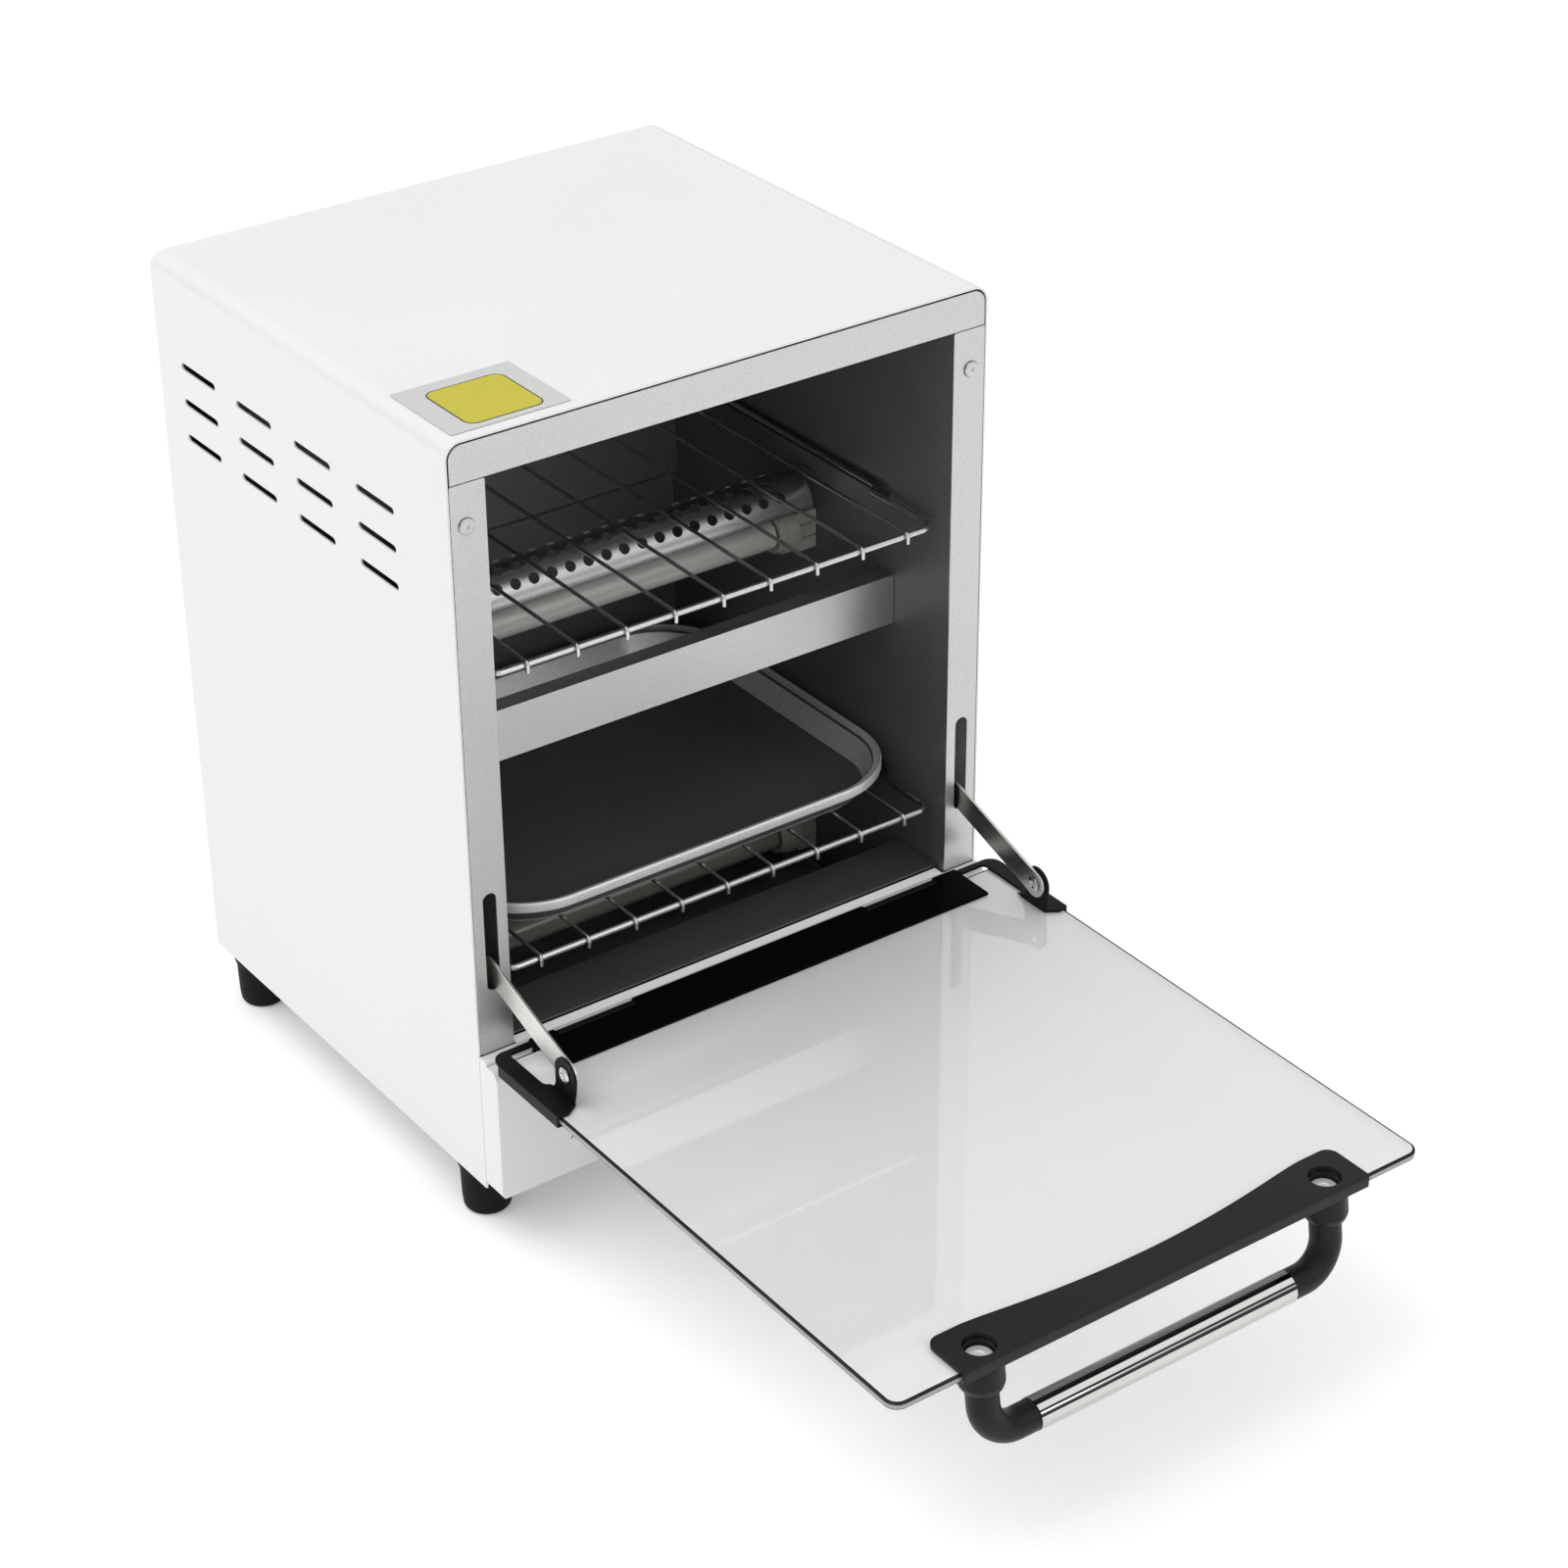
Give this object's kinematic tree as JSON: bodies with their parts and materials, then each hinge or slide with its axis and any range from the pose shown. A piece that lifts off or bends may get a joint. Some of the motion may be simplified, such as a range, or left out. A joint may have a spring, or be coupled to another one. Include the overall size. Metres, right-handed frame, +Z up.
{
  "type": "toaster oven",
  "caption": "Upright two-tier toaster oven with a drop-down glass door on side stays, tube handle, wire racks, baking tray, quartz heaters and a knob panel under the door.",
  "frame": {"origin": "middle of the whole footprint, door folded down, on the surface the feet stand on", "axes": "+Z up, -Y towards the user and the open door, +X to the right as the user faces the door"},
  "size_m": [0.2434, 0.4835, 0.3411],
  "materials": {
    "white_enamel": "satin white enamel",
    "galvanised": "galvanised sheet, fine spangle",
    "dark_liner": "dark grey coated sheet",
    "bright_wire": "bright plated",
    "stay_steel": "plain strip steel",
    "tray_enamel": "dark non-stick enamel",
    "quartz": "milky fused quartz",
    "ceramic": "matte steatite",
    "black_metal": "black powder coat",
    "black_plastic": "moulded, fine grain",
    "chrome_tube": "polished",
    "door_glass": "clear toughened glass",
    "foot_rubber": "black",
    "label_film": "printed film label",
    "unit_plastic": "thermoset",
    "knob_plastic": "satin"
  },
  "bodies": {
    "oven": {"outer_casing": "white_enamel", "base_pan": "galvanised", "back_panel": "galvanised", "foot_front_left": "foot_rubber", "foot_front_right": "foot_rubber", "foot_rear_left": "foot_rubber", "foot_rear_right": "foot_rubber", "cord_gland": "black_plastic", "terminal_block": "ceramic", "top_label": "label_film", "front_header": "galvanised", "pillar_left": "galvanised", "pillar_right": "galvanised", "pillar_screw_left": "bright_wire", "pillar_screw_right": "bright_wire", "cavity_wall_left": "dark_liner", "cavity_wall_right": "dark_liner", "cavity_ceiling": "dark_liner", "cavity_back": "dark_liner", "cavity_floor": "dark_liner", "crossbar": "galvanised", "heater_tube_upper": "quartz", "heater_tube_middle": "quartz", "heater_tube_lower": "quartz", "heater_end_upper_left": "ceramic", "heater_end_upper_right": "ceramic", "heater_end_middle_left": "ceramic", "heater_end_middle_right": "ceramic", "heater_end_lower_left": "ceramic", "heater_end_lower_right": "ceramic", "heater_guard": "galvanised", "control_panel": "white_enamel", "timer_unit": "galvanised", "heat_switch": "unit_plastic", "hinge_rod": "bright_wire", "hinge_lug_left": "black_metal", "hinge_lug_right": "black_metal"},
    "door": {"door_glass": "door_glass", "door_strip": "black_metal", "door_bracket_left": "black_metal", "door_bracket_right": "black_metal", "stay_rivet_left": "bright_wire", "stay_rivet_right": "bright_wire", "handle_plate": "black_plastic", "handle_tube": "chrome_tube", "handle_post_left": "black_plastic", "handle_post_right": "black_plastic", "handle_screw_left": "bright_wire", "handle_screw_right": "bright_wire"},
    "stay_left": {"door_stay_left": "stay_steel"},
    "stay_right": {"door_stay_right": "stay_steel"},
    "upper_rack": {"upper_rack": "bright_wire"},
    "lower_rack": {"lower_rack": "bright_wire"},
    "baking_tray": {"baking_tray": "tray_enamel"},
    "crumb_tray": {"crumb_tray": "galvanised"},
    "timer_knob": {"timer_knob": "knob_plastic", "timer_shaft": "bright_wire"},
    "heat_knob": {"heat_knob": "knob_plastic", "heat_shaft": "bright_wire"}
  },
  "joints": [
    {"name": "door_hinge", "type": "hinge", "parent": "oven", "child": "door", "pos_m": [0, 0.0113, 0.0888], "axis": [1, 0, 0], "range_deg": [-90, 0]},
    {"name": "stay_left_pivot", "type": "hinge", "parent": "door", "child": "stay_left", "pos_m": [-0.1109, -0.0282, 0.102], "axis": [1, 0, 0], "range_deg": [0, 79.2]},
    {"name": "stay_right_pivot", "type": "hinge", "parent": "door", "child": "stay_right", "pos_m": [0.1109, -0.0282, 0.102], "axis": [1, 0, 0], "range_deg": [0, 79.2]},
    {"name": "upper_rack_slide", "type": "slide", "parent": "oven", "child": "upper_rack", "axis": [0, -1, 0], "range_m": [0, 0.0075]},
    {"name": "lower_rack_slide", "type": "slide", "parent": "oven", "child": "lower_rack", "axis": [0, -1, 0], "range_m": [0, 0.0075]},
    {"name": "baking_tray_slide", "type": "slide", "parent": "lower_rack", "child": "baking_tray", "axis": [0, -1, 0], "range_m": [0, 0.15]},
    {"name": "crumb_tray_slide", "type": "slide", "parent": "oven", "child": "crumb_tray", "axis": [0, 1, 0], "range_m": [0, 0.15]},
    {"name": "timer_knob_turn", "type": "hinge", "parent": "oven", "child": "timer_knob", "pos_m": [-0.07, 0.0092, 0.0515], "axis": [0, 1, 0], "range_deg": [0, 300]},
    {"name": "heat_knob_turn", "type": "hinge", "parent": "oven", "child": "heat_knob", "pos_m": [0.07, 0.0092, 0.0515], "axis": [0, 1, 0], "range_deg": [0, 270]}
  ],
  "couplings": [
    {"joint": "stay_left_pivot", "follows": "door_hinge", "ratio": -0.879},
    {"joint": "stay_right_pivot", "follows": "door_hinge", "ratio": -0.879}
  ]
}
